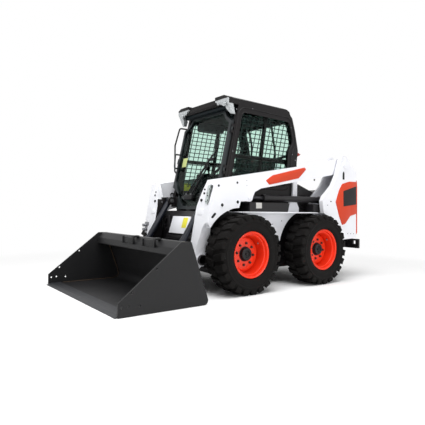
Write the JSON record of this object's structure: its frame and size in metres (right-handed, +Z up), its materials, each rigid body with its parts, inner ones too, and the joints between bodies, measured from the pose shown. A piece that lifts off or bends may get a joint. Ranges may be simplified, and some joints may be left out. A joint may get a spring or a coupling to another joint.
{
  "type": "skid steer loader",
  "caption": "Compact four-wheel skid steer loader with a glazed cab, lift arms on rear uprights and a low bucket on a quick coupler.",
  "frame": {"origin": "bottom centre of the whole machine, on the ground", "axes": "+X forward to the bucket, +Y to the machine's left, +Z up"},
  "size_m": [3.318, 1.727, 1.984],
  "materials": {
    "white_paint": "gloss",
    "black_paint": "satin",
    "cab_paint": "satin",
    "bucket_paint": "satin",
    "edge_steel": "worn satin",
    "rim_paint": "gloss",
    "tyre_rubber": "matte",
    "cab_glass": "clear tinted",
    "clear_lens": "clear",
    "red_lens": "gloss",
    "engine_metal": "painted",
    "seat_vinyl": "satin vinyl",
    "black_plastic": "grained",
    "rod_chrome": "polished",
    "cylinder_paint": "satin",
    "bare_steel": "plated"
  },
  "bodies": {
    "chassis": {"main_frame": "black_paint", "fenders": "white_paint", "side_boxes": "black_paint", "axle_housings": "black_paint", "engine_block": "engine_metal", "rear_hood": "black_paint", "engine_screens": "black_paint", "rear_bumper": "black_paint", "tail_lamps": "red_lens", "tower_left": "white_paint", "tower_right": "white_paint"},
    "cab": {"cab_side_left": "cab_paint", "cab_side_right": "cab_paint", "cab_back": "cab_paint", "cab_roof": "cab_paint", "cab_floor": "cab_paint", "cab_windows": "cab_glass", "cab_lamps": "clear_lens", "seat": "seat_vinyl", "seat_bar": "black_paint", "levers": "black_plastic", "grab_loop": "black_paint"},
    "cab_door": {"door_frame": "cab_paint", "door_glass": "cab_glass"},
    "tailgate": {"tailgate": "black_paint"},
    "lift_arms": {"lift_arm_left": "white_paint", "lift_arm_right": "white_paint", "cross_tube": "black_paint", "hose_couplers": "bare_steel"},
    "bucket": {"coupler": "black_paint", "bucket_shell": "bucket_paint", "bucket_sides": "bucket_paint", "cutting_edge": "edge_steel"},
    "lift_barrels": {"lift_barrels": "black_paint"},
    "lift_rods": {"lift_rods": "rod_chrome"},
    "tilt_barrels": {"tilt_barrels": "cylinder_paint"},
    "tilt_rods": {"tilt_rods": "rod_chrome"},
    "wheel_front_left": {"tyre_front_left": "tyre_rubber", "rim_front_left": "rim_paint"},
    "wheel_front_right": {"tyre_front_right": "tyre_rubber", "rim_front_right": "rim_paint"},
    "wheel_rear_left": {"tyre_rear_left": "tyre_rubber", "rim_rear_left": "rim_paint"},
    "wheel_rear_right": {"tyre_rear_right": "tyre_rubber", "rim_rear_right": "rim_paint"}
  },
  "joints": [
    {"name": "arm_lift", "type": "hinge", "parent": "chassis", "child": "lift_arms", "pos_m": [-1.387, 0, 1.375], "axis": [0, -1, 0], "range_deg": [0, 68]},
    {"name": "bucket_tilt", "type": "hinge", "parent": "lift_arms", "child": "bucket", "pos_m": [0.773, 0, 0.185], "axis": [0, 1, 0], "range_deg": [-28, 107]},
    {"name": "lift_barrel_swing", "type": "hinge", "parent": "chassis", "child": "lift_barrels", "pos_m": [-1.077, 0, 0.945], "axis": [0, -1, 0], "range_deg": [0, 70.71]},
    {"name": "lift_rod_slide", "type": "slide", "parent": "lift_barrels", "child": "lift_rods", "axis": [1, 0, 0], "range_m": [0, 0.58133]},
    {"name": "tilt_barrel_swing", "type": "hinge", "parent": "lift_arms", "child": "tilt_barrels", "pos_m": [0.473, 0, 0.91], "axis": [0, -1, 0], "range_deg": [-1.11, 4.12]},
    {"name": "tilt_rod_slide", "type": "slide", "parent": "tilt_barrels", "child": "tilt_rods", "axis": [0.5362, 0, -0.8441], "range_m": [-0.08749, 0.33292]},
    {"name": "door_swing", "type": "hinge", "parent": "cab", "child": "cab_door", "pos_m": [0.2708, 0.44, 1.4], "axis": [-0.2251, 0, 0.9743], "range_deg": [0, 70]},
    {"name": "cab_tilt", "type": "hinge", "parent": "chassis", "child": "cab", "pos_m": [-0.727, 0, 1.12], "axis": [0, -1, 0], "range_deg": [0, 45]},
    {"name": "tailgate_swing", "type": "hinge", "parent": "chassis", "child": "tailgate", "pos_m": [-1.64, -0.456, 0.8], "axis": [0, 0, 1], "range_deg": [0, 90]},
    {"name": "front_left_spin", "type": "hinge", "parent": "chassis", "child": "wheel_front_left", "pos_m": [0.223, 0.661, 0.387], "axis": [0, 1, 0], "continuous": true},
    {"name": "rear_left_spin", "type": "hinge", "parent": "chassis", "child": "wheel_rear_left", "pos_m": [-0.859, 0.661, 0.387], "axis": [0, 1, 0], "continuous": true},
    {"name": "front_right_spin", "type": "hinge", "parent": "chassis", "child": "wheel_front_right", "pos_m": [0.223, -0.661, 0.387], "axis": [0, 1, 0], "continuous": true},
    {"name": "rear_right_spin", "type": "hinge", "parent": "chassis", "child": "wheel_rear_right", "pos_m": [-0.859, -0.661, 0.387], "axis": [0, 1, 0], "continuous": true}
  ],
  "couplings": [
    {"joint": "lift_barrel_swing", "follows": "arm_lift", "ratio": 1.0391},
    {"joint": "lift_rod_slide", "follows": "arm_lift", "m_per_rad": 0.4894},
    {"joint": "tilt_barrel_swing", "follows": "bucket_tilt", "ratio": 0.038},
    {"joint": "tilt_rod_slide", "follows": "bucket_tilt", "m_per_rad": 0.178},
    {"joint": "rear_left_spin", "follows": "front_left_spin", "ratio": 1},
    {"joint": "rear_right_spin", "follows": "front_right_spin", "ratio": 1}
  ]
}
